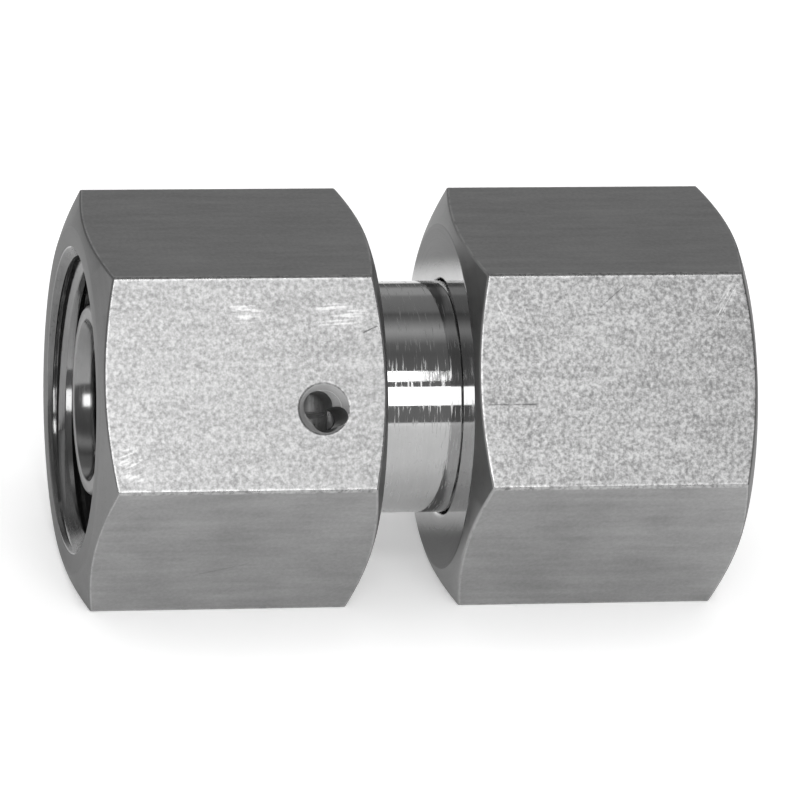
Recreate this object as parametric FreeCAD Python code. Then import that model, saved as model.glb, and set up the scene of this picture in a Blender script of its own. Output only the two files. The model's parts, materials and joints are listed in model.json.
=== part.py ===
"""Straight double swivel-nut tube connector, light series, for 12 mm tube.

A turned steel body carries a 24 degree sealing cone with a seal ring at each end. A hexagon union nut turns
freely on each end, held on the body by a wire that lies half in a groove of the nut and half in a groove of
the body. The wire goes in through a small hole drilled in one flat of the nut.

Units are millimetres. X runs along the bore, Z is up, and the origin is on the axis, midway between the nuts.
The connector lies on one flat of each nut. The nut at -X is the left one. Every piece that both ends have is
made at the +X end, and a copy turned half round about Z goes to the other end.
"""

import math
import os

import FreeCAD
import Part

# Body, from the sleeve inwards
sleeve_diameter = 14.0
cone_angle = 24.0
cone_height = 0.7
pilot_step = 0.6
seal_groove_depth = 0.6
wall_under_seal = 0.6

# Body, along its ends
pilot_length = 1.1
pilot_edge_break = 0.2
bore_edge_break = 0.25
nose_recess = 1.0

# Seal ring
seal_section_diameter = 1.5
seal_seat_gap = 0.01
seal_side_gap = 0.2

# Union nut, from the thread outwards
thread_over_sleeve = 4.0
thread_pitch = 1.5
flats_over_thread = 4.0
hex_corner_radius = 0.15
chamfer_inset = 0.6
chamfer_angle = 21.0

# Union nut, along its length
nut_gap = 5.2
nut_length = 17.3
swivel_clearance = 0.08
swivel_land = 0.75
shoulder_angle = 45.0
mouth_over_thread = 0.5
rear_edge_break = 0.4

# Retaining wire, and the hole that it goes in through
wire_diameter = 1.8
wire_clearance = 0.06
wire_from_rear_face = 4.0
wire_turn_angle = 342.0
wire_hole_over_wire = 0.5
wire_hole_edge_break = 0.35
wire_hole_offset = 1.48
wire_hole_flat = 1

HEX_SIDES = 6
# A thread's basic minor diameter is its major one less this share of the pitch
MINOR_DIAMETER_SHARE = 5 / 8 * math.sqrt(3)
CUT_OVERRUN = 1.0

AXIS_X = FreeCAD.Vector(1, 0, 0)
AXIS_Z = FreeCAD.Vector(0, 0, 1)
ORIGIN = FreeCAD.Vector(0, 0, 0)

# Diameters worked out from the sizes above
cone_start_diameter = sleeve_diameter - 2 * cone_height
pilot_diameter = cone_start_diameter - 2 * pilot_step
seal_groove_diameter = pilot_diameter - 2 * seal_groove_depth
bore_diameter = seal_groove_diameter - 2 * wall_under_seal
rear_bore_diameter = sleeve_diameter + 2 * swivel_clearance
thread_diameter = sleeve_diameter + thread_over_sleeve
thread_minor_diameter = thread_diameter - MINOR_DIAMETER_SHARE * thread_pitch
mouth_diameter = thread_diameter + mouth_over_thread
across_flats = thread_diameter + flats_over_thread
across_corners = across_flats / math.cos(math.pi / HEX_SIDES)

# Places along the axis worked out from the sizes above
nut_inner_face = nut_gap / 2
nut_outer_face = nut_inner_face + nut_length
body_end = nut_outer_face - nose_recess
seal_groove_front = body_end - pilot_length
seal_groove_back = seal_groove_front - seal_section_diameter - 2 * seal_side_gap

# The wire's ring runs midway through the swivel gap
wire_place = nut_inner_face + wire_from_rear_face
wire_ring_radius = (sleeve_diameter + rear_bore_diameter) / 4
wire_groove_radius = wire_diameter / 2 + wire_clearance
swivel_end = wire_place + wire_groove_radius + swivel_land


def turned(points):
    """The solid that a closed outline of (x, radius) points makes when it turns about the X axis."""
    corners = [FreeCAD.Vector(x, 0, radius) for x, radius in points]
    face = Part.Face(Part.makePolygon(corners + corners[:1]))
    return face.revolve(ORIGIN, AXIS_X, 360)


def turned_wire(radius, turn_angle):
    """A round wire of the given radius, bent about the X axis from straight above it, through an angle."""
    centre = FreeCAD.Vector(wire_place, 0, wire_ring_radius)
    section = Part.Wire(Part.makeCircle(radius, centre, FreeCAD.Vector(0, 1, 0)))
    return Part.Face(section).revolve(ORIGIN, AXIS_X, turn_angle)


def half_body_outline():
    """The body's outline at the +X end, from the sleeve to the bore, as (x, radius) points."""
    cone_run = cone_height / math.tan(math.radians(cone_angle / 2))
    bore_radius = bore_diameter / 2
    return [
        (seal_groove_back - cone_run, sleeve_diameter / 2),
        (seal_groove_back, cone_start_diameter / 2),
        (seal_groove_back, seal_groove_diameter / 2),
        (seal_groove_front, seal_groove_diameter / 2),
        (seal_groove_front, pilot_diameter / 2),
        (body_end - pilot_edge_break, pilot_diameter / 2),
        (body_end, pilot_diameter / 2 - pilot_edge_break),
        (body_end, bore_radius + bore_edge_break),
        (body_end - bore_edge_break, bore_radius),
    ]


def connector_body():
    """The turned body: bore, sleeve, and at each end a sealing cone, a seal groove, a pilot and a wire groove."""
    right = half_body_outline()
    left = [(-x, radius) for x, radius in reversed(right)]
    right_groove = turned_wire(wire_groove_radius, 360)
    left_groove = right_groove.mirror(ORIGIN, AXIS_X)
    return turned(right + left).cut(right_groove).cut(left_groove)


def seal_ring():
    """The seal ring, seated on the bottom of its groove and centred in it."""
    section_radius = seal_section_diameter / 2
    ring_radius = seal_groove_diameter / 2 + seal_seat_gap + section_radius
    centre = FreeCAD.Vector((seal_groove_front + seal_groove_back) / 2, 0, 0)
    return Part.makeTorus(ring_radius, section_radius, centre, AXIS_X)


def hexagon_bar():
    """The nut's hexagon bar, with a flat at the bottom and its long edges slightly rounded."""
    corners = []
    for count in range(HEX_SIDES):
        angle = 2 * math.pi * count / HEX_SIDES
        y = across_corners / 2 * math.cos(angle)
        z = across_corners / 2 * math.sin(angle)
        corners.append(FreeCAD.Vector(nut_inner_face, y, z))
    bar = Part.Face(Part.makePolygon(corners + corners[:1])).extrude(AXIS_X * nut_length)
    long_edges = [edge for edge in bar.Edges if abs(edge.tangentAt(edge.FirstParameter).x) > 0.99]
    return bar.makeFillet(hex_corner_radius, long_edges)


def chamfer_envelope():
    """The turned shape that trims both ends of the hexagon bar to a low cone."""
    circle_radius = across_flats / 2 - chamfer_inset
    outer_radius = across_corners / 2 + CUT_OVERRUN
    cone_run = (outer_radius - circle_radius) * math.tan(math.radians(chamfer_angle))
    return turned(
        [
            (nut_inner_face, 0),
            (nut_inner_face, circle_radius),
            (nut_inner_face + cone_run, outer_radius),
            (nut_outer_face - cone_run, outer_radius),
            (nut_outer_face, circle_radius),
            (nut_outer_face, 0),
        ]
    )


def nut_bore():
    """What is turned out of the nut: rear bore, shoulder, threaded bore at its minor diameter, and mouth."""
    minor_radius = thread_minor_diameter / 2
    rear_radius = rear_bore_diameter / 2
    mouth_radius = mouth_diameter / 2
    mouth_run = mouth_radius - minor_radius
    shoulder_run = (minor_radius - rear_radius) / math.tan(math.radians(shoulder_angle))
    return turned(
        [
            (nut_inner_face - CUT_OVERRUN, 0),
            (nut_inner_face - CUT_OVERRUN, rear_radius + rear_edge_break),
            (nut_inner_face, rear_radius + rear_edge_break),
            (nut_inner_face + rear_edge_break, rear_radius),
            (swivel_end, rear_radius),
            (swivel_end + shoulder_run, minor_radius),
            (nut_outer_face - mouth_run, minor_radius),
            (nut_outer_face, mouth_radius),
            (nut_outer_face + CUT_OVERRUN, mouth_radius),
            (nut_outer_face + CUT_OVERRUN, 0),
        ]
    )


def to_hole_flat(shape):
    """Turns a shape made at the nut's top flat to the flat that the wire hole is drilled in."""
    shape.rotate(ORIGIN, AXIS_X, -360 / HEX_SIDES * wire_hole_flat)
    return shape


def wire_hole():
    """The hole that the wire is fed through, drilled square to its flat and beside the axis, with its edge broken."""
    flat_height = across_flats / 2
    hole_radius = (wire_diameter + wire_hole_over_wire) / 2
    foot = FreeCAD.Vector(wire_place, wire_hole_offset, 0)
    hole = Part.makeCylinder(hole_radius, flat_height + CUT_OVERRUN, foot, AXIS_Z)
    edge_foot = FreeCAD.Vector(wire_place, wire_hole_offset, flat_height - wire_hole_edge_break)
    edge = Part.makeCone(
        hole_radius, hole_radius + 2 * wire_hole_edge_break, 2 * wire_hole_edge_break, edge_foot, AXIS_Z
    )
    return to_hole_flat(hole.fuse(edge))


def union_nut():
    """The union nut: hexagon, end chamfers, bores, wire groove and wire hole."""
    blank = hexagon_bar().common(chamfer_envelope())
    return blank.cut(nut_bore()).cut(turned_wire(wire_groove_radius, 360)).cut(wire_hole())


def retaining_wire():
    """The wire, one open turn. Its cut end stands in the middle of the hole, where it can be seen."""
    wire = turned_wire(wire_diameter / 2, wire_turn_angle)
    hole_lean = math.degrees(math.asin(wire_hole_offset / wire_ring_radius))
    wire.rotate(ORIGIN, AXIS_X, -hole_lean)
    return to_hole_flat(wire)


def turned_round(shape):
    """A copy of a piece, turned half round about Z, for the other end."""
    copy = shape.copy()
    copy.rotate(ORIGIN, AXIS_Z, 180)
    return copy


def main():
    """Makes every piece, writes one STEP file for each and prints its size."""
    pieces = {"connector_body": connector_body()}
    both_ends = {"union_nut": union_nut(), "retaining_wire": retaining_wire(), "seal_ring": seal_ring()}
    for name, shape in both_ends.items():
        pieces["right_" + name] = shape
        pieces["left_" + name] = turned_round(shape)
    os.makedirs("parts", exist_ok=True)
    for name, shape in pieces.items():
        shape.exportStep(os.path.join("parts", name + ".step"))
        box = shape.optimalBoundingBox()
        print(
            f"{name}: valid {shape.isValid()}, solids {len(shape.Solids)}, volume {shape.Volume:.2f} mm3, "
            f"{box.XLength:.2f} x {box.YLength:.2f} x {box.ZLength:.2f} mm"
        )


main()
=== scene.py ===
"""Looks of the straight screw connector, and the studio round it.

Pieces are modelled in millimetres and brought to metres when they are finished. X runs along the bore,
Z is up, and the origin is on the axis, midway between the nuts. What both ends have is modelled at the
+X end, and the -X end gets a copy turned half round about Z.
"""

import json
import logging
import math
from dataclasses import dataclass
from enum import Enum, auto
from typing import Callable, Sequence, Union

import bpy
from mathutils import Matrix, Vector


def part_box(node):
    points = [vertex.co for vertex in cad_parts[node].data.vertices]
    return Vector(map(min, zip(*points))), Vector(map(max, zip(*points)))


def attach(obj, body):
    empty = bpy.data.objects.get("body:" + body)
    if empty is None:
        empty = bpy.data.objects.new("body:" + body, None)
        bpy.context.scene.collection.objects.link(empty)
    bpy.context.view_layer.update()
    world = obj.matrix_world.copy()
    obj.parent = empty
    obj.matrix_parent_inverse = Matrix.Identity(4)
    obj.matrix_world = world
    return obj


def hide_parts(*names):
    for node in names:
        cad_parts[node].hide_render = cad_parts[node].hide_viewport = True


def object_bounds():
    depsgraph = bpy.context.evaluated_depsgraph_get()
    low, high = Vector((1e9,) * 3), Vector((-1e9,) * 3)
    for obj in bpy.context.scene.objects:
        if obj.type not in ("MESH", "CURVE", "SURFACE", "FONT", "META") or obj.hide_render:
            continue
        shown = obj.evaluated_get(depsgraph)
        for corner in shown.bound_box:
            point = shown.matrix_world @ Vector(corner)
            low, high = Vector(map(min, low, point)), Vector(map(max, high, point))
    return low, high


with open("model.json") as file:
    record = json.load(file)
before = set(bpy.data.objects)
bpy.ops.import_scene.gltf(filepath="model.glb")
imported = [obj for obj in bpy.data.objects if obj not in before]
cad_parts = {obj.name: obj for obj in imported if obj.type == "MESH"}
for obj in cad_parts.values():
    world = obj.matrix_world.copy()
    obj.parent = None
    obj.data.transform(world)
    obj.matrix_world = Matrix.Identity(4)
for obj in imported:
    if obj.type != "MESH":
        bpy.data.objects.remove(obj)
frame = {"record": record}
cad_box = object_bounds()

LOG = logging.getLogger("connector")

MM = 0.001
FULL_TURN = 2 * math.pi
HEX_SIDES = 6
# Points closer than this are merged
WELD = 0.0002
# The radius of an outline's points on the axis: under WELD, so that spinning leaves one point of each
ON_AXIS = 0.0001
# Faces and edges are chosen by their place, give or take this much
SLACK = 0.05
# Cutters reach this far past the piece
OVERRUN = 1.0
# Steps along a wire groove's arc
GROOVE_STEPS = 14

Point = tuple[float, float]
Direction = tuple[float, float, float]
Number = Union[float, "Value"]


class End(Enum):
    """The connector's two ends."""

    RIGHT = "right"
    LEFT = "left"

    @property
    def turn(self) -> Matrix:
        """The turn that takes a piece of the +X end to this end."""
        return Matrix.Rotation(0.0 if self is End.RIGHT else math.pi, 4, "Z")


class NutFace(Enum):
    """The nut's faces by finish."""

    FLAT = auto()
    CONE = auto()
    OUTER = auto()
    REAR = auto()
    THREAD = auto()
    DRILLED = auto()
    INSIDE = auto()
    BACK_CONE = auto()
    MOUTH = auto()


class BodyFace(Enum):
    """The body's faces by finish."""

    SLEEVE = auto()
    NOSE = auto()
    BORE = auto()
    GROOVE = auto()


class WireFace(Enum):
    """The wire's faces by finish."""

    DRAWN = auto()
    SHEARED = auto()


class Bench:
    """Modelling steps that several pieces share. Every step works on the active object."""

    @staticmethod
    def clear_selection() -> None:
        """Leaves nothing selected, so that the next step touches only its own piece."""
        bpy.ops.object.select_all(action="DESELECT")

    @staticmethod
    def pick(piece: bpy.types.Object) -> None:
        """Selects a piece alone and makes it the active one.

        Args:
            piece: The piece.
        """
        Bench.clear_selection()
        piece.select_set(True)
        bpy.context.view_layer.objects.active = piece

    @staticmethod
    def edit(piece: bpy.types.Object) -> None:
        """Opens a piece in edit mode with all of it selected.

        Args:
            piece: The piece.
        """
        Bench.pick(piece)
        bpy.ops.object.mode_set(mode="EDIT")
        bpy.ops.mesh.select_all(action="SELECT")

    @staticmethod
    def edit_points(piece: bpy.types.Object, wanted: Callable[[bpy.types.MeshVertex], bool]) -> None:
        """Opens the active piece in edit mode with a few points selected, and what lies between them.

        Args:
            piece: The active piece.
            wanted: Tells whether a point is selected.
        """
        mesh = piece.data
        for vertex in mesh.vertices:
            vertex.select = wanted(vertex)
        for part in (*mesh.edges, *mesh.polygons):
            part.select = all(mesh.vertices[index].select for index in part.vertices)
        bpy.ops.object.mode_set(mode="EDIT")

    @staticmethod
    def leave_edit() -> None:
        """Goes back to object mode."""
        bpy.ops.object.mode_set(mode="OBJECT")

    @staticmethod
    def outline(points: Sequence[Point], closed: bool) -> bpy.types.Object:
        """Draws an outline above the axis, point by point.

        Args:
            points: The outline's (x, radius) points.
            closed: Whether the last point is joined to the first.

        Returns:
            A mesh object of edges alone, in the plane y = 0.
        """
        Bench.clear_selection()
        first_x, first_radius = points[0]
        bpy.ops.mesh.primitive_plane_add(size=1.0, location=(first_x, 0, first_radius))
        piece = bpy.context.object
        Bench.apply_place(piece)
        Bench.edit(piece)
        bpy.ops.mesh.merge(type="CENTER")
        for (x, radius), (next_x, next_radius) in zip(points, points[1:]):
            step = (next_x - x, 0, next_radius - radius)
            bpy.ops.mesh.extrude_region_move(TRANSFORM_OT_translate={"value": step})
        Bench.leave_edit()
        if closed:
            ends = (0, len(piece.data.vertices) - 1)
            Bench.edit_points(piece, lambda vertex: vertex.index in ends)
            bpy.ops.mesh.edge_face_add()
            Bench.leave_edit()
        return piece

    @staticmethod
    def turned(points: Sequence[Point], steps: int, angle: float = FULL_TURN) -> bpy.types.Object:
        """Spins a closed outline about the X axis.

        Args:
            points: The outline's (x, radius) points.
            steps: How many steps the turn takes.
            angle: How far it turns.

        Returns:
            The closed, outward-facing solid.
        """
        piece = Bench.outline(points, closed=True)
        Bench.edit(piece)
        bpy.ops.mesh.spin(steps=steps, angle=angle, center=(0, 0, 0), axis=(1, 0, 0))
        Bench.weld()
        Bench.leave_edit()
        return piece

    @staticmethod
    def weld() -> None:
        """Merges doubled points and turns every face outwards."""
        bpy.ops.mesh.select_all(action="SELECT")
        bpy.ops.mesh.remove_doubles(threshold=WELD)
        bpy.ops.mesh.normals_make_consistent(inside=False)

    @staticmethod
    def clean(piece: bpy.types.Object) -> None:
        """Welds a piece that isn't open in edit mode.

        Args:
            piece: The piece.
        """
        Bench.edit(piece)
        Bench.weld()
        Bench.leave_edit()

    @staticmethod
    def cut_off(piece: bpy.types.Object, place: Vector, outward: Vector) -> None:
        """Cuts a piece along a plane, clears what lies outside and closes the cut.

        Args:
            piece: The closed solid to cut.
            place: A point on the plane.
            outward: The plane's normal, towards what is cleared.
        """
        Bench.edit(piece)
        bpy.ops.mesh.bisect(
            plane_co=place, plane_no=outward, use_fill=True, clear_outer=True, threshold=WELD / 10
        )
        Bench.leave_edit()

    @staticmethod
    def apply_place(piece: bpy.types.Object) -> None:
        """Moves a piece's place, turn and scale into its mesh."""
        Bench.pick(piece)
        bpy.ops.object.transform_apply(location=True, rotation=True, scale=True)

    @staticmethod
    def apply_modifier(piece: bpy.types.Object, kind: str, **settings: object) -> None:
        """Adds a modifier with the given settings and applies it.

        Args:
            piece: The piece that it shapes.
            kind: The modifier's type.
            **settings: Its settings by name.
        """
        Bench.pick(piece)
        modifier = piece.modifiers.new(kind.title(), kind)
        for name, value in settings.items():
            setattr(modifier, name, value)
        bpy.ops.object.modifier_apply(modifier=modifier.name)

    @staticmethod
    def subtract(piece: bpy.types.Object, cutter: bpy.types.Object) -> None:
        """Cuts one solid out of another and throws the cutter away."""
        Bench.apply_modifier(piece, "BOOLEAN", operation="DIFFERENCE", solver="EXACT", object=cutter)
        bpy.data.objects.remove(cutter)

    @staticmethod
    def ease_edges(
        piece: bpy.types.Object, width: float, segments: int, wanted: Callable[[Vector, float], bool]
    ) -> None:
        """Rounds chosen edges.

        Args:
            piece: The piece whose edges are rounded.
            width: The rounding's width.
            segments: Its number of steps.
            wanted: Tells from an edge's middle and the angle between its faces whether it is rounded.
        """
        mesh = piece.data
        normals: dict[tuple[int, int], list[Vector]] = {}
        for face in mesh.polygons:
            for key in face.edge_keys:
                normals.setdefault(key, []).append(face.normal.copy())
        weights = mesh.attributes.new("bevel_weight_edge", "FLOAT", "EDGE")
        for edge in mesh.edges:
            around = normals.get(edge.key, [])
            if len(around) != 2:
                continue
            first, second = (mesh.vertices[index].co for index in edge.vertices)
            if wanted((first + second) / 2, around[0].angle(around[1], 0.0)):
                weights.data[edge.index].value = 1.0
        Bench.apply_modifier(piece, "BEVEL", width=width, segments=segments, limit_method="WEIGHT")

    @staticmethod
    def finish(piece: bpy.types.Object, name: str, smooth_angle: float = 32.0) -> None:
        """Brings a finished piece to metres, smooths its round faces and names it.

        Args:
            piece: The piece, modelled in millimetres.
            name: Its name.
            smooth_angle: Faces that meet at less than this many degrees are shaded as one.
        """
        piece.scale = (MM, MM, MM)
        Bench.apply_place(piece)
        bpy.ops.object.shade_smooth_by_angle(angle=math.radians(smooth_angle))
        Bench.apply_modifier(piece, "WEIGHTED_NORMAL", mode="FACE_AREA", keep_sharp=True)
        piece.name = name
        piece.data.name = name

    @staticmethod
    def copy_to(piece: bpy.types.Object, end: End, name: str) -> bpy.types.Object:
        """Copies a piece of the +X end, with its own mesh, to an end.

        Args:
            piece: The piece to copy.
            end: The end that the copy is for.
            name: The copy's name.

        Returns:
            The copy.
        """
        copy = piece.copy()
        copy.data = piece.data.copy()
        copy.data.transform(end.turn)
        copy.name = name
        copy.data.name = name
        bpy.context.collection.objects.link(copy)
        return copy

    @staticmethod
    def paint(
        piece: bpy.types.Object,
        finishes: dict[Enum, "Finish"],
        choose: Callable[[Vector, Vector], Enum],
    ) -> None:
        """Gives each face its finish.

        Args:
            piece: The piece, in millimetres.
            finishes: The finish of each kind of face.
            choose: Tells a face's kind from its middle and its normal.
        """
        slots = {kind: slot for slot, kind in enumerate(finishes)}
        piece.data.materials.clear()
        for finish in finishes.values():
            piece.data.materials.append(finish.material())
        for face in piece.data.polygons:
            face.material_index = slots[choose(face.center, face.normal)]

    @staticmethod
    def put_on(piece: bpy.types.Object, node: str, body: str, slot: str) -> None:
        """Makes a piece stand for its CAD node and ride on its body.

        Args:
            piece: The finished piece.
            node: The node that it replaces.
            body: The body that it rides on.
            slot: The record's material slot; not used.
        """
        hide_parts(node)
        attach(piece, body)
        LOG.info("%s: %d faces, on %s", piece.name, len(piece.data.polygons), body)

    @staticmethod
    def put_on_both(piece: bpy.types.Object, name: str, node: str, body: str, slot: str) -> None:
        """Puts a copy of a piece on at each end, and throws the piece itself away.

        Args:
            piece: The finished piece of the +X end.
            name: The copies' name, to follow the end's.
            node: The node that a copy replaces, to follow the end's name.
            body: The body that a copy rides on, with {end} where the end's name goes.
            slot: The record's material slot.
        """
        for end in End:
            copy = Bench.copy_to(piece, end, f"{end.value}_{name}")
            Bench.put_on(copy, f"{end.value}_{node}", body.format(end=end.value), slot)
        bpy.data.objects.remove(piece)


def arc(centre: Point, radius: float, start: float, stop: float, steps: int) -> list[Point]:
    """Points along an arc of an outline.

    Args:
        centre: The arc's (x, radius) centre.
        radius: The arc's own radius.
        start: Its first angle in degrees, from +X towards larger radii.
        stop: Its last angle in degrees.
        steps: How many steps it is divided into.

    Returns:
        The points, both ends included.
    """
    points = []
    for count in range(steps + 1):
        angle = math.radians(start + (stop - start) * count / steps)
        points.append((centre[0] + radius * math.cos(angle), centre[1] + radius * math.sin(angle)))
    return points


def grey_colour(level: float) -> tuple[float, float, float, float]:
    """The colour of a plain grey."""
    return (level, level, level, 1.0)


@dataclass(frozen=True)
class Dimensions:
    """The connector's main sizes in millimetres, all read from the frame.

    Fields:
        nut_inner: Where a nut's rear face is.
        nut_outer: Where its outer face is.
        across_flats: Its width over the flats.
        body_end: Where the body ends.
        sleeve_radius: The sleeve's radius.
        pilot_radius: The pilots' radius.
        bore_radius: The through bore's radius.
        thread_minor_radius: The thread's smallest radius.
        thread_length: Its length.
        thread_middle: Where its middle is.
        wire_place: Where a wire is.
        wire_radius: Its section's radius.
        wire_ring_radius: The radius that it is bent to.
        seal_place: Where a seal ring is.
        seal_radius: Its section's radius.
        seal_ring_radius: The radius of its middle line.
    """

    nut_inner: float
    nut_outer: float
    across_flats: float
    body_end: float
    sleeve_radius: float
    pilot_radius: float
    bore_radius: float
    thread_minor_radius: float
    thread_length: float
    thread_middle: float
    wire_place: float
    wire_radius: float
    wire_ring_radius: float
    seal_place: float
    seal_radius: float
    seal_ring_radius: float

    @classmethod
    def from_frame(cls) -> "Dimensions":
        """Reads the sizes from the nodes' boxes and the record's mounts.

        Returns:
            The sizes.
        """
        nut_low, nut_high = (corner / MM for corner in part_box("right_union_nut"))
        body_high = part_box("connector_body")[1] / MM
        wire_low, wire_high = (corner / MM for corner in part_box("right_retaining_wire"))
        seal_low, seal_high = (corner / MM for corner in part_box("right_seal_ring"))
        mounts = {mount["name"]: mount for mount in frame["record"]["mounts"]}
        wire_radius = (wire_high.x - wire_low.x) / 2
        seal_radius = (seal_high.x - seal_low.x) / 2
        return cls(
            nut_inner=nut_low.x,
            nut_outer=nut_high.x,
            across_flats=nut_high.z - nut_low.z,
            body_end=body_high.x,
            sleeve_radius=body_high.z,
            pilot_radius=mounts["right_nose"]["dims"]["r_mm"],
            bore_radius=mounts["flow_bore"]["dims"]["r_mm"],
            thread_minor_radius=mounts["right_thread"]["dims"]["r_mm"],
            thread_length=mounts["right_thread"]["dims"]["length_mm"],
            thread_middle=mounts["right_thread"]["pos_m"][0] / MM,
            wire_place=(wire_low.x + wire_high.x) / 2,
            wire_radius=wire_radius,
            wire_ring_radius=wire_high.z - wire_radius,
            seal_place=(seal_low.x + seal_high.x) / 2,
            seal_radius=seal_radius,
            seal_ring_radius=seal_high.z - seal_radius,
        )


class Value:
    """A socket whose value varies over a surface. Arithmetic on it adds Math nodes."""

    def __init__(self, shader: "Shader", socket: bpy.types.NodeSocket) -> None:
        """Wraps an output socket of a shader's tree."""
        self.shader = shader
        self.socket = socket

    def math(self, operation: str, *others: Number) -> "Value":
        """Adds a Math node whose first value is this one."""
        values = dict(enumerate((self, *others)))
        return self.shader.value("ShaderNodeMath", {"operation": operation}, values)

    def __add__(self, other: Number) -> "Value":
        """Adds."""
        return self.math("ADD", other)

    __radd__ = __add__

    def __sub__(self, other: Number) -> "Value":
        """Subtracts."""
        return self.math("SUBTRACT", other)

    def __rsub__(self, other: float) -> "Value":
        """Subtracts from a number."""
        return self.math("MULTIPLY_ADD", -1.0, other)

    def __mul__(self, other: Number) -> "Value":
        """Multiplies."""
        return self.math("MULTIPLY", other)

    __rmul__ = __mul__

    def __truediv__(self, other: Number) -> "Value":
        """Divides."""
        return self.math("DIVIDE", other)

    def __abs__(self) -> "Value":
        """Drops the sign."""
        return self.math("ABSOLUTE")

    def most(self, other: Number) -> "Value":
        """The larger of this and another value."""
        return self.math("MAXIMUM", other)

    def least(self, other: Number) -> "Value":
        """The smaller of this and another value."""
        return self.math("MINIMUM", other)

    def over(self, limit: float) -> "Value":
        """1 where this is more than a limit, and 0 elsewhere."""
        return self.math("GREATER_THAN", limit)

    def rising(self, low: float, high: float) -> "Value":
        """Goes smoothly from 0 at one value to 1 at another. The first may be the larger.

        Args:
            low: The value that gives 0.
            high: The value that gives 1.

        Returns:
            A value from 0 to 1.
        """
        settings = {"interpolation_type": "SMOOTHSTEP", "clamp": True}
        values = {"Value": self, "From Min": low, "From Max": high}
        return self.shader.value("ShaderNodeMapRange", settings, values)


class Shader:
    """A node tree that finishes are written in."""

    def __init__(self, tree: bpy.types.NodeTree) -> None:
        """Empties the tree."""
        self.tree = tree
        self.tree.nodes.clear()

    def node(
        self, kind: str, settings: dict | None = None, values: dict | None = None
    ) -> bpy.types.Node:
        """Adds a node.

        Args:
            kind: The node's type.
            settings: Its settings by name, set first. "stops" fills a ramp with (place, grey) pairs.
            values: Numbers, vectors, sockets or values for its inputs, by name or number.

        Returns:
            The node.
        """
        node = self.tree.nodes.new(kind)
        for name, setting in (settings or {}).items():
            if name == "stops":
                self.fill_ramp(node.color_ramp, setting)
            else:
                setattr(node, name, setting)
        for name, value in (values or {}).items():
            target = node.inputs[name]
            if isinstance(value, Value):
                self.tree.links.new(value.socket, target)
            elif isinstance(value, bpy.types.NodeSocket):
                self.tree.links.new(value, target)
            else:
                target.default_value = value
        return node

    @staticmethod
    def fill_ramp(ramp: bpy.types.ColorRamp, stops: Sequence[Point]) -> None:
        """Sets a ramp's stops, each a place and a grey.

        Args:
            ramp: The ramp.
            stops: Its (place, grey) pairs, from left to right.
        """
        while len(ramp.elements) < len(stops):
            ramp.elements.new(1.0)
        for element, (place, grey) in zip(ramp.elements, stops):
            element.position = place
            element.color = grey_colour(grey)

    def value(self, kind: str, settings: dict | None = None, values: dict | None = None) -> Value:
        """Adds a node and gives its first output as a value."""
        return Value(self, self.node(kind, settings, values).outputs[0])

    def place(self) -> bpy.types.NodeSocket:
        """The place on the piece, in millimetres.

        Returns:
            The place, as a vector.
        """
        metres = self.node("ShaderNodeTexCoord").outputs["Object"]
        node = self.node("ShaderNodeVectorMath", {"operation": "SCALE"}, {0: metres, "Scale": 1 / MM})
        return node.outputs[0]

    def split(self, vector: bpy.types.NodeSocket) -> tuple[Value, Value, Value]:
        """A vector's three numbers.

        Args:
            vector: The vector.

        Returns:
            Its x, y and z.
        """
        node = self.node("ShaderNodeSeparateXYZ", values={0: vector})
        x, y, z = (Value(self, output) for output in node.outputs)
        return x, y, z

    def join(self, x: Number, y: Number, z: Number) -> bpy.types.NodeSocket:
        """A vector of three numbers."""
        return self.node("ShaderNodeCombineXYZ", values={0: x, 1: y, 2: z}).outputs[0]

    def dot(self, vector: bpy.types.NodeSocket, direction: Sequence[float]) -> Value:
        """How far a vector reaches along a direction.

        Args:
            vector: The vector.
            direction: The unit direction.

        Returns:
            The length along it.
        """
        values = {0: vector, 1: direction}
        node = self.node("ShaderNodeVectorMath", {"operation": "DOT_PRODUCT"}, values)
        return Value(self, node.outputs["Value"])

    def noise(
        self, vector: bpy.types.NodeSocket, per_mm: float, detail: float, rough: float = 0.5
    ) -> Value:
        """Soft noise.

        Args:
            vector: Where it is read, in millimetres.
            per_mm: How many swells a millimetre holds.
            detail: How many finer layers it has.
            rough: How strong the finer layers are.

        Returns:
            A value about 0.5.
        """
        values = {"Vector": vector, "Scale": per_mm, "Detail": detail, "Roughness": rough}
        return self.value("ShaderNodeTexNoise", {"noise_dimensions": "3D"}, values)

    def grey(self, amount: Value, dark: float, light: float) -> bpy.types.NodeSocket:
        """A grey between two, by an amount from 0 to 1.

        Args:
            amount: How far it is from the first grey to the second.
            dark: The grey at 0.
            light: The grey at 1.

        Returns:
            The colour.
        """
        node = self.node("ShaderNodeMix", {"data_type": "RGBA"})
        sockets = {socket.identifier: socket for socket in (*node.inputs, *node.outputs)}
        self.tree.links.new(amount.socket, sockets["Factor_Float"])
        sockets["A_Color"].default_value = grey_colour(dark)
        sockets["B_Color"].default_value = grey_colour(light)
        return sockets["Result_Color"]

    def bump(self, height: Value, depth: float) -> bpy.types.NodeSocket:
        """A normal roughened by a height, given in millimetres for a height of 1."""
        values = {"Height": height, "Distance": depth * MM, "Strength": 1.0}
        return self.node("ShaderNodeBump", values=values).outputs[0]

    def seen(self) -> Value:
        """1 for what the camera sees, straight or in metal or glass, and 0 for what only lights.

        Returns:
            The value, for a Mix Shader's factor.
        """
        path = self.node("ShaderNodeLightPath").outputs
        rays = [Value(self, path[f"Is {kind} Ray"]) for kind in ("Camera", "Glossy", "Transmission")]
        return (rays[0] + rays[1] + rays[2]).least(1.0)

    def surface(self, shade: bpy.types.NodeSocket) -> None:
        """Joins a surface to the tree's output."""
        self.node("ShaderNodeOutputMaterial", values={"Surface": shade})


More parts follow.
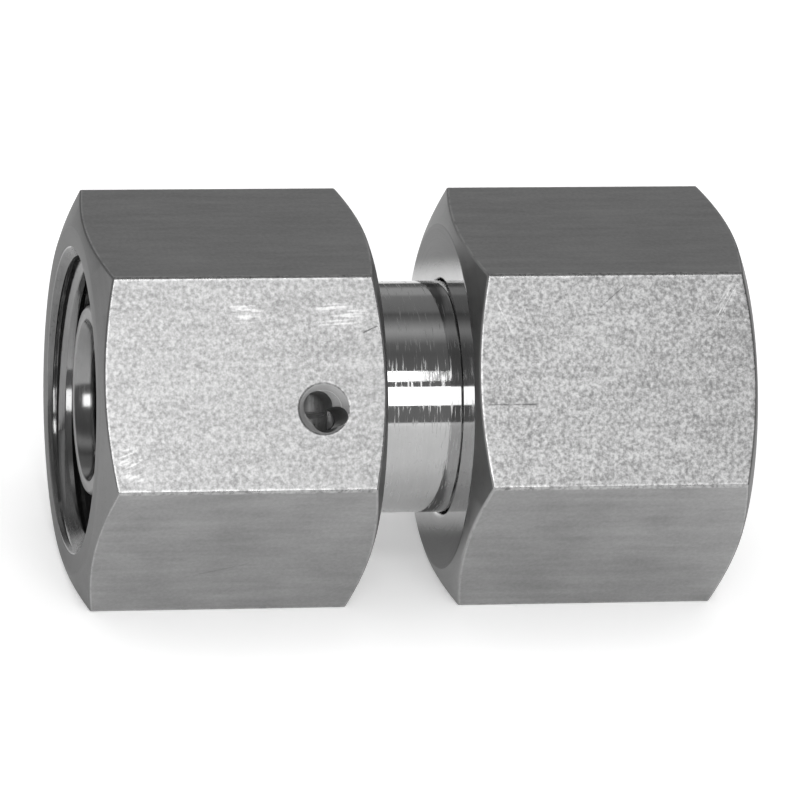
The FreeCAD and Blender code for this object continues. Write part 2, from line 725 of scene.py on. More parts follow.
@dataclass(frozen=True)
class Scratch:
    """A straight mark on a flat.

    Fields:
        along: Its middle along X.
        up: Its middle up the flat, from the flat's centre line.
        length: Its length.
        width: Its width.
        lean: Its angle to X in degrees, upwards.
        depth: How deep it is, or 0 for a scuff, which is a bundle of fine burnished lines.
    """

    along: float
    up: float
    length: float
    width: float
    lean: float = 0.0
    depth: float = 0.0


@dataclass(frozen=True)
class MarkedFlat:
    """A flat with marks of its own.

    Fields:
        tilt: How far it faces upwards from -Y, in degrees.
        grain: How strong its grain and painted glints are on the left nut and on the right one.
        marks: Its marks.
    """

    tilt: float
    grain: Point
    marks: tuple[Scratch, ...]

    @property
    def facing(self) -> Direction:
        """Its outward direction."""
        return (0.0, -math.cos(math.radians(self.tilt)), math.sin(math.radians(self.tilt)))

    @property
    def upward(self) -> Direction:
        """The direction up it."""
        return (0.0, math.sin(math.radians(self.tilt)), math.cos(math.radians(self.tilt)))


@dataclass(frozen=True, kw_only=True)
class Finish:
    """What every finish shares.

    Fields:
        name: The material's name.
    """

    name: str

    def material(self) -> bpy.types.Material:
        """Makes the material.

        Returns:
            The material.
        """
        material = bpy.data.materials.new(self.name)
        material.use_nodes = True
        self.write(Shader(material.node_tree))
        return material

    def write(self, shader: Shader) -> None:
        """Writes the finish's nodes.

        Args:
            shader: The tree that they are written in.
        """
        raise NotImplementedError


@dataclass(frozen=True, kw_only=True)
class SteelFinish(Finish):
    """What the steel finishes share.

    Fields:
        greys: Its darkest grey and its lightest.
        roughness: Its lowest roughness and its highest.
        edge_tint: How bright it is when it is seen edge-on.
        metal: How metallic it looks, from 0 for a dull skin of oil and dust to 1 for bare steel.
    """

    greys: Point
    roughness: Point
    edge_tint: float = 1.0
    metal: float = 1.0

    def shade(
        self, shader: Shader, tone: Value, roughness: Value, normal: bpy.types.NodeSocket
    ) -> None:
        """Sets the steel's surface.

        Args:
            shader: The tree that it is written in.
            tone: From 0 for the darkest grey to 1 for the lightest.
            roughness: From 0 for the smoothest to 1 for the roughest.
            normal: The roughened normal.
        """
        smoothest, roughest = self.roughness
        values = {
            "Base Color": shader.grey(tone, *self.greys),
            "Metallic": self.metal,
            "Roughness": roughness * (roughest - smoothest) + smoothest,
            "Specular Tint": grey_colour(self.edge_tint),
            "Normal": normal,
        }
        shader.surface(shader.node("ShaderNodeBsdfPrincipled", values=values).outputs[0])


@dataclass(frozen=True, kw_only=True)
class FlatFinish(SteelFinish):
    """The nuts' flats: rolled bar with a fine speckled grain, blotches, streaks and scratches.

    Fields:
        grain_per_mm: How many grains a millimetre holds.
        grain_depth: The grain's depth.
        plain_grain: How strong the grain is on the flats without marks.
        corner_wear: How far under the corners' radius their wear starts, and where it is full.
        end_wear: How far from the end chamfers their wear starts, and where it is full.
        flat_slack: How far under a flat's plane a place still counts as on it.
        nut: The nut that it is for.
        flats: The flats with marks of their own.
    """

    grain_per_mm: float
    grain_depth: float
    plain_grain: float
    corner_wear: Point = (0.14, 0.05)
    end_wear: Point = (0.2, 0.08)
    flat_slack: float = 0.15
    nut: "UnionNut"
    flats: tuple[MarkedFlat, ...]

    def edges(self, x: Value, radius: Value) -> Value:
        """How near a place is to the hexagon's long edges or its chamfers, from 0 to 1.

        Args:
            x: The place along the bore.
            radius: Its distance from the bore's axis.

        Returns:
            1 at an edge, and 0 from a quarter of a millimetre off it.
        """
        sizes = self.nut.sizes
        slope = math.tan(math.radians(self.nut.chamfer_angle))
        circle = sizes.across_flats / 2 - self.nut.chamfer_inset
        middle = (sizes.nut_inner + sizes.nut_outer) / 2
        half = (sizes.nut_outer - sizes.nut_inner) / 2
        from_end = half - abs(abs(x) - middle) - (radius - circle) * slope
        corner = radius.rising(*(self.nut.corner_radius - under for under in self.corner_wear))
        return corner.most(from_end.rising(*self.end_wear))

    def on_flat(self, shader: Shader, place: bpy.types.NodeSocket, flat: MarkedFlat) -> Value:
        """1 on a flat and 0 elsewhere."""
        return shader.dot(place, flat.facing).over(self.nut.sizes.across_flats / 2 - self.flat_slack)

    def marks(self, shader: Shader, place: bpy.types.NodeSocket) -> tuple[Value, Value]:
        """The scratches and scuffs.

        Args:
            shader: The tree that they are written in.
            place: The place on the piece.

        Returns:
            How deep a place lies in a scratch, and how far a scuff has burnished it.
        """
        x = shader.split(place)[0]
        breaks = shader.noise(place, per_mm=2.2, detail=2.0).rising(0.3, 0.5)
        cut: Number = 0.0
        shine: Number = 0.0
        for flat in self.flats:
            on_flat = self.on_flat(shader, place, flat)
            spot = shader.join(x, shader.dot(place, flat.upward), 0.0)
            for mark in flat.marks:
                settings = {"vector_type": "TEXTURE"}
                values = {
                    "Vector": spot,
                    "Location": (mark.along, mark.up, 0.0),
                    "Rotation": (0.0, 0.0, math.radians(mark.lean)),
                    "Scale": (mark.length / 2, mark.width / 2, 1.0),
                }
                mapped = shader.node("ShaderNodeMapping", settings, values).outputs[0]
                across, over, _ = shader.split(mapped)
                if mark.depth:
                    inside = abs(across).rising(1.0, 0.85) * abs(over).rising(1.0, 0.3)
                    cut = inside * on_flat * breaks * mark.depth + cut
                else:
                    bundle = shader.join(across * 0.3, over * mark.width, mark.up)
                    lines = shader.noise(bundle, per_mm=3.0, detail=1.0)
                    fade = (across * across + over * over).rising(1.0, 0.2)
                    shine = lines.rising(0.44, 0.68) * fade * on_flat + shine
        return cut, shine

    def grain_and_glint_strength(self, shader: Shader, place: bpy.types.NodeSocket) -> Value:
        """How strong the grain and its painted glints are at a place: set on a marked flat, weak on
        the others.

        Args:
            shader: The tree that it is written in.
            place: The place on the piece.

        Returns:
            Its strength.
        """
        x = shader.split(place)[0]
        strength: Number = self.plain_grain
        for flat in self.flats:
            left, right = flat.grain
            own = x.over(0.0) * (right - left) + (left - self.plain_grain)
            strength = own * self.on_flat(shader, place, flat) + strength
        return strength

    def write(self, shader: Shader) -> None:
        """Writes the finish's nodes.

        Args:
            shader: The tree that they are written in.
        """
        place = shader.place()
        x, y, z = shader.split(place)
        strength = self.grain_and_glint_strength(shader, place)
        grain = shader.noise(place, self.grain_per_mm, detail=1.0, rough=0.6) * strength
        # Colour speckle: the flats' grain, set strong on the upper front flats that face the lamps,
        # where it also paints glints
        flecks = shader.noise(place, self.grain_per_mm * 1.1, detail=2.0, rough=0.65)
        fleck = (flecks - 0.5) * strength
        blotch = shader.noise(place, per_mm=0.3, detail=3.0).rising(0.25, 0.75)
        streak = shader.noise(shader.join(x * 0.12, y, z), per_mm=1.6, detail=3.0)
        cut, shine = self.marks(shader, place)
        radius = (y * y + z * z).math("SQRT")
        gaps = shader.noise(place, per_mm=1.1, detail=3.0, rough=0.6).rising(0.36, 0.5)
        worn = self.edges(x, radius) * gaps
        cloud = (blotch - 0.5) * strength
        tone = fleck * 1.15 + cloud * 0.03 + blotch * 0.1 + streak * 0.24
        tone = tone + worn * 0.15 + cut * -0.35 + shine * 0.24 + 0.3
        matt = fleck * 0.2 + blotch * 0.2 + worn * -0.3 + cut * 0.3 + shine * -0.2 + 0.4
        height = grain * (1 - worn) * (1 - shine.least(1.0)) - cut * 2
        normal = shader.bump(height, self.grain_depth)
        self.shade(shader, tone.rising(0.0, 1.0), matt.rising(-0.1, 1.1), normal)


@dataclass(frozen=True, kw_only=True)
class TurnedFinish(SteelFinish):
    """Turned steel: fine lines round the axis, and faint stains.

    Fields:
        lines_per_mm: How many tool lines a millimetre holds.
        line_depth: The lines' depth.
        streaks: How much rougher the short streaks along the lines are.
        shade_band: Where a band of painted shade darkens it and makes it rougher, if any: how far
            above and below the axis the band starts, and where it is full.
        shade_band_lean: How far the band's up leans to the back, in degrees.
        tones: The tones that come out darkest and lightest.
    """

    lines_per_mm: float = 12.0
    line_depth: float = 0.001
    streaks: float = 0.2
    shade_band: Point | None = None
    shade_band_lean: float = 26.0
    tones: Point = (0.1, 1.0)

    def write(self, shader: Shader) -> None:
        """Writes the finish's nodes.

        Args:
            shader: The tree that they are written in.
        """
        place = shader.place()
        x, y, z = shader.split(place)
        radius = (y * y + z * z).math("SQRT")
        lean = y.math("ARCTAN2", z)
        fine_lines = shader.join(x, radius, lean * 0.16)
        broad_lines = shader.join(x, radius, lean * 0.1)
        short_lines = shader.join(x, radius, lean * 0.6)
        lines = shader.noise(fine_lines, self.lines_per_mm, detail=2.0, rough=0.6)
        broad = shader.noise(broad_lines, self.lines_per_mm * 0.22, detail=2.0)
        stain = shader.noise(place, per_mm=0.5, detail=4.0, rough=0.6)
        dust = shader.noise(place, per_mm=7.0, detail=2.0).rising(0.6, 0.75)
        streaks = shader.noise(short_lines, per_mm=9.0, detail=1.0).rising(0.52, 0.75) * self.streaks
        tone = lines * 0.25 + broad * 0.35 + stain * 0.5 + dust * -0.3 + streaks * 0.3
        tone = tone.rising(*self.tones)
        matt = lines.rising(0.4, 0.75) * 0.15 + broad * 0.15 + dust * 0.15 + streaks
        # Painted shade: the tone darkens above and below the axis, which dims what the face mirrors
        # there
        if self.shade_band:
            shade_band_lean = math.radians(self.shade_band_lean)
            dull = abs(y * math.sin(shade_band_lean) + z * math.cos(shade_band_lean)).rising(*self.shade_band)
            tone = tone * (1 - dull)
            matt = matt + dull * 0.8
        height = lines + broad * 0.8 + dust * 0.3
        self.shade(shader, tone, matt.rising(0.0, 1.1), shader.bump(height, self.line_depth))


@dataclass(frozen=True, kw_only=True)
class DrawnWireFinish(SteelFinish):
    """Drawn spring wire: dull, with lines along the wire and a few nicks.

    Fields:
        ring_radius: The radius of the wire's ring.
        nick_depth: The depth of nicks and lines.
    """

    ring_radius: float
    nick_depth: float

    def write(self, shader: Shader) -> None:
        """Writes the finish's nodes.

        Args:
            shader: The tree that they are written in.
        """
        place = shader.place()
        x, y, z = shader.split(place)
        radius = (y * y + z * z).math("SQRT")
        lean = y.math("ARCTAN2", z) * (self.ring_radius * 0.12)
        drawn = shader.noise(shader.join(x, radius, lean), per_mm=14.0, detail=3.0, rough=0.6)
        nicks = shader.noise(place, per_mm=4.0, detail=3.0).rising(0.6, 0.7)
        tone = drawn * 0.7 + nicks * -0.4 + 0.2
        normal = shader.bump(drawn + nicks * -1.5, self.nick_depth)
        self.shade(shader, tone.rising(0.0, 1.0), drawn.rising(0.2, 0.8), normal)


@dataclass(frozen=True, kw_only=True)
class RubberFinish(Finish):
    """The seal rings' black rubber, with a faint mould grain and dust.

    Fields:
        greys: The rubber's grey and its dust's.
        grain_depth: The mould grain's depth.
    """

    greys: Point
    grain_depth: float = 0.01

    def write(self, shader: Shader) -> None:
        """Writes the finish's nodes.

        Args:
            shader: The tree that they are written in.
        """
        place = shader.place()
        grain = shader.noise(place, per_mm=9.0, detail=3.0)
        dust = shader.noise(place, per_mm=2.5, detail=4.0, rough=0.65).rising(0.5, 0.8)
        values = {
            "Base Color": shader.grey(dust, *self.greys),
            "Roughness": grain * 0.3 + 0.35,
            "Normal": shader.bump(grain, self.grain_depth),
        }
        shader.surface(shader.node("ShaderNodeBsdfPrincipled", values=values).outputs[0])


@dataclass(frozen=True, kw_only=True)
class FloorFinish(Finish):
    """The pale floor, which looks white to the camera and takes the object's shadow.

    Fields:
        grey: Its colour.
        glow: What it shows above its own light, so that it looks white.
    """

    grey: float
    glow: float

    def write(self, shader: Shader) -> None:
        """Writes the finish's nodes.

        Args:
            shader: The tree that they are written in.
        """
        lit = shader.node("ShaderNodeBsdfDiffuse", values={"Color": grey_colour(self.grey)}).outputs[0]
        glow = shader.node("ShaderNodeEmission", values={"Strength": self.glow}).outputs[0]
        white = shader.node("ShaderNodeAddShader", values={0: lit, 1: glow}).outputs[0]
        values = {0: shader.seen(), 1: lit, 2: white}
        shader.surface(shader.node("ShaderNodeMixShader", values=values).outputs[0])


@dataclass
class UnionNut:
    """A hexagon union nut: chamfered hexagon, internal thread, wire groove and wire hole.

    Fields:
        sizes: The connector's main sizes.
        steps: Steps in a full turn of its round faces.
        chamfer_inset: How far inside the flats the end chamfer's circle lies.
        chamfer_angle: The end chamfers' angle to the end faces, in degrees.
        mouth_radius: The thread mouth's radius at the end face.
        thread_pitch: The thread's pitch.
        thread_major_radius: The thread's largest radius.
        thread_flank: The angle of the thread's flanks, in degrees.
        thread_steps: Steps in a full turn of the thread.
        groove_slant: How much shallower a thread groove is at its inner side.
        tap_allowance: How far under the thread the bore is turned before it is tapped.
        rear_clearance: The rear bore's radial clearance on the sleeve.
        rear_edge_break: The chamfer at the rear bore's edge.
        groove_clearance: The groove's clearance round the wire.
        hole_edge_radius: The radius of the hole's chamfer at the flat.
        hole_rim: How far under the flat the hole's own finish starts.
        hole_steps: Steps in a full turn of the hole.
        hole_ledge: How deep the hole's worn ledge lies, and its radius.
        hole_drills: What is drilled through the ledge, as (along the bore, down the flat, radius).
        hole_foot: How near the axis the drills reach.
        hole_offset: How far beside the flat's middle the hole is drilled.
        hole_flat: The flat that it is drilled in, counted from the top one.
        first_groove: How far inside the end face the thread's first groove lies, at the front.
        crest_lean: How far the thread's crests lean towards the mouth, in degrees.
        crest_round: The rounding of the crests.
        edge_width: The rounding of the nut's edges.
        sharp_angle: Edges sharper than this many degrees are rounded.
    """

    sizes: Dimensions
    steps: int = 192
    chamfer_inset: float = 0.6
    chamfer_angle: float = 21.0
    mouth_radius: float = 9.25
    thread_pitch: float = 1.5
    thread_major_radius: float = 9.0
    thread_flank: float = 30.0
    thread_steps: int = 96
    groove_slant: float = 0.02
    tap_allowance: float = 0.15
    rear_clearance: float = 0.08
    rear_edge_break: float = 0.2
    groove_clearance: float = 0.06
    hole_edge_radius: float = 1.5
    hole_rim: float = 0.03
    hole_steps: int = 64
    hole_ledge: Point = (0.38, 1.14)
    hole_drills: tuple[tuple[float, float, float], ...] = (
        (0.27, -0.17, 0.92),
        (-0.14, 0.58, 0.83),
        (-0.82, 0.42, 0.6),
    )
    hole_foot: float = 1.0
    hole_offset: float = 1.48
    hole_flat: int = 1
    first_groove: float = 0.58
    crest_lean: float = 10.0
    crest_round: float = 0.1
    edge_width: float = 0.12
    sharp_angle: float = 14.0

    @property
    def corner_radius(self) -> float:
        """How far the hexagon's corners stand from the axis."""
        return self.sizes.across_flats / 2 / math.cos(math.pi / HEX_SIDES)

    @property
    def hole_turn(self) -> Matrix:
        """The turn that takes a hole made at the top flat to its own flat."""
        return Matrix.Rotation(-FULL_TURN / HEX_SIDES * self.hole_flat, 4, "X")

    def blank_outline(self) -> list[Point]:
        """The round blank's (x, radius) outline, with its bore a little under the thread.

        Returns:
            The outline's points.
        """
        sizes = self.sizes
        circle = sizes.across_flats / 2 - self.chamfer_inset
        blank_radius = self.corner_radius + self.chamfer_inset
        cone_run = (blank_radius - circle) * math.tan(math.radians(self.chamfer_angle))
        rear_radius = sizes.sleeve_radius + self.rear_clearance
        groove_radius = sizes.wire_radius + self.groove_clearance
        thread_start = sizes.thread_middle - sizes.thread_length / 2
        bore_radius = sizes.thread_minor_radius - self.tap_allowance
        dip = math.degrees(math.asin((rear_radius - sizes.wire_ring_radius) / groove_radius))
        middle = (sizes.wire_place, sizes.wire_ring_radius)
        groove = arc(middle, groove_radius, 180 - dip, dip, GROOVE_STEPS)
        return [
            (sizes.nut_outer, self.mouth_radius),
            (sizes.nut_outer, circle),
            (sizes.nut_outer - cone_run, blank_radius),
            (sizes.nut_inner + cone_run, blank_radius),
            (sizes.nut_inner, circle),
            (sizes.nut_inner, rear_radius + self.rear_edge_break),
            (sizes.nut_inner + self.rear_edge_break, rear_radius),
            *groove,
            (thread_start - (sizes.thread_minor_radius - rear_radius), rear_radius),
            (thread_start - (sizes.thread_minor_radius - bore_radius), bore_radius),
            (sizes.nut_outer - (self.mouth_radius - bore_radius), bore_radius),
        ]

    def cut_flats(self, nut: bpy.types.Object) -> None:
        """Cuts the round blank to its hexagon.

        Args:
            nut: The blank.
        """
        for count in range(HEX_SIDES):
            outward = Matrix.Rotation(FULL_TURN * count / HEX_SIDES, 3, "X") @ Vector((0, 0, 1))
            Bench.cut_off(nut, outward * self.sizes.across_flats / 2, outward)

    def drill(self, outline: Sequence[Point], along: float, down: float) -> bpy.types.Object:
        """Turns a drill and sets it over the wire hole.

        Args:
            outline: Its (height, radius) outline.
            along: Its shift along the bore from the hole's middle.
            down: Its shift down the flat.

        Returns:
            The drill.
        """
        drill = Bench.turned(outline, self.hole_steps)
        foot = (self.sizes.wire_place + along, self.hole_offset + down, 0)
        for step in (Matrix.Rotation(-math.pi / 2, 4, "Y"), Matrix.Translation(foot), self.hole_turn):
            drill.data.transform(step)
        return drill

    def sink_hole(self, nut: bpy.types.Object) -> None:
        """Countersinks the wire hole.

        Args:
            nut: The nut so far.
        """
        flat, rim = self.sizes.across_flats / 2, self.hole_edge_radius
        top = flat + OVERRUN
        outline = [(flat - rim, ON_AXIS), (top, rim + OVERRUN), (top, ON_AXIS)]
        Bench.subtract(nut, self.drill(outline, along=0, down=0))

    def drill_hole(self, nut: bpy.types.Object) -> None:
        """Sinks the wire hole's ledge and drills through it.

        Args:
            nut: The nut so far.
        """
        top = self.sizes.across_flats / 2 + OVERRUN
        depth, ledge_radius = self.hole_ledge
        cuts = [(0.0, 0.0, ledge_radius, top - OVERRUN - depth)]
        cuts += [(along, down, radius, self.hole_foot) for along, down, radius in self.hole_drills]
        for along, down, radius, foot in cuts:
            outline = [(foot, ON_AXIS), (foot, radius), (top, radius), (top, ON_AXIS)]
            Bench.subtract(nut, self.drill(outline, along, down))

    def tap(self) -> bpy.types.Object:
        """The tap that cuts the thread: a closed screw with the thread's profile.

        Returns:
            The tap, in its place in the nut.
        """
        pitch = self.thread_pitch
        root, crest = self.sizes.thread_minor_radius, self.thread_major_radius
        slope = math.radians(self.crest_lean)
        flank_run = math.tan(math.radians(self.thread_flank))
        # The profile's first quarter leaves a crest in the nut, and the rest cuts its groove
        root_flat = pitch / 4
        rise = root_flat * math.tan(slope)
        flank = (crest - root - rise) * flank_run
        tangent = self.crest_round * math.tan((math.radians(90 - self.thread_flank) - slope) / 2)
        land_end = (root_flat - tangent * math.cos(slope), root + rise - tangent * math.sin(slope))
        start = self.sizes.thread_middle - self.sizes.thread_length / 2
        # The groove's middle is 5/8 of a pitch past the profile's foot, and the front a quarter on
        groove = self.sizes.nut_outer - self.first_groove - pitch * (5 / 8 + 1 / 4)
        foot = groove - math.ceil((groove - start) / pitch + 2) * pitch
        centre = (
            foot + land_end[0] - self.crest_round * math.sin(slope),
            land_end[1] + self.crest_round * math.cos(slope),
        )
        outline = [
            (foot, root),
            *arc(centre, self.crest_round, self.crest_lean - 90, -self.thread_flank, steps=4),
            (foot + root_flat + flank, crest - self.groove_slant),
            (foot + pitch - (crest - root) * flank_run, crest),
            (foot + pitch, root),
        ]
        tap = Bench.outline(outline, closed=False)
        Bench.apply_modifier(
            tap,
            "SCREW",
            axis="X",
            angle=FULL_TURN,
            screw_offset=pitch,
            iterations=math.ceil((self.sizes.nut_outer - foot) / pitch) + 1,
            steps=self.thread_steps,
            render_steps=self.thread_steps,
        )
        Bench.clean(tap)
        Bench.cut_off(tap, Vector((start, 0, 0)), Vector((-1, 0, 0)))
        Bench.cut_off(tap, Vector((self.sizes.nut_outer + pitch / 2, 0, 0)), Vector((1, 0, 0)))
        Bench.clean(tap)
        return tap

    def eased(self, middle: Vector, angle: float) -> bool:
        """Whether an edge is rounded: every sharp edge outside the thread and the wire hole's depth.

        Args:
            middle: The edge's middle.
            angle: The angle between its faces.

        Returns:
            True where it is rounded.
        """
        outside = math.hypot(middle.y, middle.z) > self.mouth_radius - SLACK
        rear_edge = middle.x < self.sizes.nut_inner + self.rear_edge_break + SLACK
        return angle > math.radians(self.sharp_angle) and (outside or rear_edge)

    def face_kind(self, centre: Vector, normal: Vector) -> NutFace:
        """Tells which kind of face lies at a place.

        Args:
            centre: The face's middle.
            normal: Its normal.

        Returns:
            The kind of face.
        """
        sizes = self.sizes
        radius = math.hypot(centre.y, centre.z)
        spot = self.hole_turn.inverted() @ centre
        off_hole = math.hypot(spot.x - sizes.wire_place, spot.y - self.hole_offset)
        groove_top = sizes.wire_ring_radius + sizes.wire_radius + self.groove_clearance
        hole_top = sizes.across_flats / 2 - self.hole_rim
        outside = radius > self.mouth_radius
        faces_along_bore = abs(normal.x) > 0.97
        faces_outwards = abs(normal.x) < 0.45
        faces_as_mouth = 0.6 < normal.x < 0.8
        rear_face = faces_along_bore and centre.x < sizes.nut_inner + self.edge_width
        rear_edge = centre.x < sizes.nut_inner + self.rear_edge_break + self.edge_width
        if off_hole < self.hole_edge_radius + SLACK and groove_top < spot.z < hole_top:
            return NutFace.DRILLED
        if outside and faces_outwards:
            return NutFace.FLAT
        if faces_along_bore and centre.x > sizes.nut_outer - self.edge_width:
            return NutFace.OUTER
        if rear_face or (rear_edge and radius < self.mouth_radius):
            return NutFace.REAR
        if outside:
            # The chamfers are split by end so that the outer ones take painted shade and the rear ones
            # painted light
            return NutFace.CONE if centre.x > sizes.wire_place else NutFace.BACK_CONE
        # The mouth's chamfer gets a darker copy of the thread steel: painted shade inside the mouth
        if faces_as_mouth and centre.x > sizes.thread_middle:
            return NutFace.MOUTH
        if centre.x > sizes.thread_middle - sizes.thread_length / 2:
            return NutFace.THREAD
        return NutFace.INSIDE

    def build(self) -> bpy.types.Object:
        """Models the nut at the +X end.

        Returns:
            The nut, in millimetres.
        """
        nut = Bench.turned(self.blank_outline(), self.steps)
        self.cut_flats(nut)
        self.sink_hole(nut)
        Bench.ease_edges(nut, self.edge_width, segments=3, wanted=self.eased)
        self.drill_hole(nut)
        Bench.subtract(nut, self.tap())
        return nut

    def marked_flats(self) -> tuple[MarkedFlat, ...]:
        """The front flats: the upper ones with scuffs and scratches, the lower with a faint one.

        Returns:
            The upper flats and the lower ones, each for both nuts.
        """
        upper_marks = (
            Scratch(along=-11.4, up=4.2, length=2.6, width=1.7),
            Scratch(along=-5.6, up=4.1, length=4.0, width=2.2, lean=2.0),
            Scratch(along=-18.2, up=-4.6, length=1.8, width=3.2, lean=20.0),
            Scratch(along=-3.7, up=3.2, length=1.0, width=0.1, lean=25.0, depth=0.8),
            Scratch(along=4.8, up=-1.35, length=3.1, width=0.09, depth=0.7),
            Scratch(along=11.0, up=5.0, length=2.2, width=0.08, lean=40.0, depth=0.5),
            Scratch(along=4.4, up=3.7, length=2.4, width=0.5, lean=-65.0),
            Scratch(along=17.9, up=4.7, length=3.2, width=0.9, lean=60.0),
        )
        lower_marks = (Scratch(along=-12.0, up=-2.0, length=4.0, width=0.2, lean=20.0, depth=0.2),)
        return (
            MarkedFlat(tilt=30, grain=(1.0, 1.3), marks=upper_marks),
            MarkedFlat(tilt=-30, grain=(0.2, 0.2), marks=lower_marks),
        )

    def finishes(self) -> dict[Enum, Finish]:
        """The finish of each kind of face.

        Returns:
            The finishes, in the order of the material slots.
        """
        return {
            NutFace.FLAT: FlatFinish(
                name="speckled_steel",
                greys=(0.13, 0.43),
                roughness=(0.24, 0.5),
                grain_per_mm=3.9,
                grain_depth=0.004,
                plain_grain=0.2,
                nut=self,
                flats=self.marked_flats(),
            ),
            # The outer chamfers: the same chamfered steel as the rear ones, painted darker (painted
            # shade)
            NutFace.CONE: TurnedFinish(
                name="chamfered_steel", greys=(0.19, 0.25), roughness=(0.42, 0.56), edge_tint=0.6
            ),
            NutFace.OUTER: TurnedFinish(
                name="faced_steel", greys=(0.2, 0.26), roughness=(0.36, 0.5), edge_tint=0.5
            ),
            NutFace.REAR: TurnedFinish(
                name="polished_rear_steel",
                greys=(0.14, 0.72),
                roughness=(0.08, 0.34),
                edge_tint=0.72,
                line_depth=0.0004,
                # Painted shade darkens this face above and below the sleeve
                shade_band=(6.8, 8.6),
                tones=(-0.5, 0.7),
            ),
            NutFace.THREAD: TurnedFinish(
                name="cut_thread_steel",
                greys=(0.15, 0.25),
                roughness=(0.1, 0.26),
                edge_tint=0.9,
                metal=0.9,
                lines_per_mm=9.0,
                line_depth=0.003,
                streaks=0.3,
            ),
            NutFace.DRILLED: TurnedFinish(
                name="drilled_steel",
                greys=(0.34, 0.44),
                roughness=(0.5, 0.66),
                metal=0.9,
                lines_per_mm=6.0,
                line_depth=0.01,
                streaks=0.4,
            ),
            NutFace.INSIDE: TurnedFinish(
                name="oily_steel",
                greys=(0.3, 0.7),
                roughness=(0.35, 0.55),
                edge_tint=0.8,
                metal=0.4,
                lines_per_mm=7.0,
                line_depth=0.006,
                streaks=0.5,
            ),
            # The rear chamfers: the same chamfered steel as the outer ones, painted lighter (painted
            # light)
            NutFace.BACK_CONE: TurnedFinish(
                name="rear_chamfer_steel", greys=(0.29, 0.38), roughness=(0.42, 0.56), edge_tint=0.6
            ),
            # The thread's steel painted darker on the mouth chamfer: painted shade
            NutFace.MOUTH: TurnedFinish(
                name="mouth_steel",
                greys=(0.08, 0.2),
                roughness=(0.24, 0.42),
                edge_tint=0.8,
                lines_per_mm=9.0,
                line_depth=0.004,
                streaks=0.4,
            ),
        }

    def dress(self, nut: bpy.types.Object) -> None:
        """Puts the finishes on the nut that build made, and places a copy at each end.

        Args:
            nut: The nut, in millimetres.
        """
        Bench.paint(nut, self.finishes(), self.face_kind)
        Bench.finish(nut, "union_nut")
        Bench.put_on_both(nut, "hexagon_nut", "union_nut", "{end}_nut", "nut_steel")


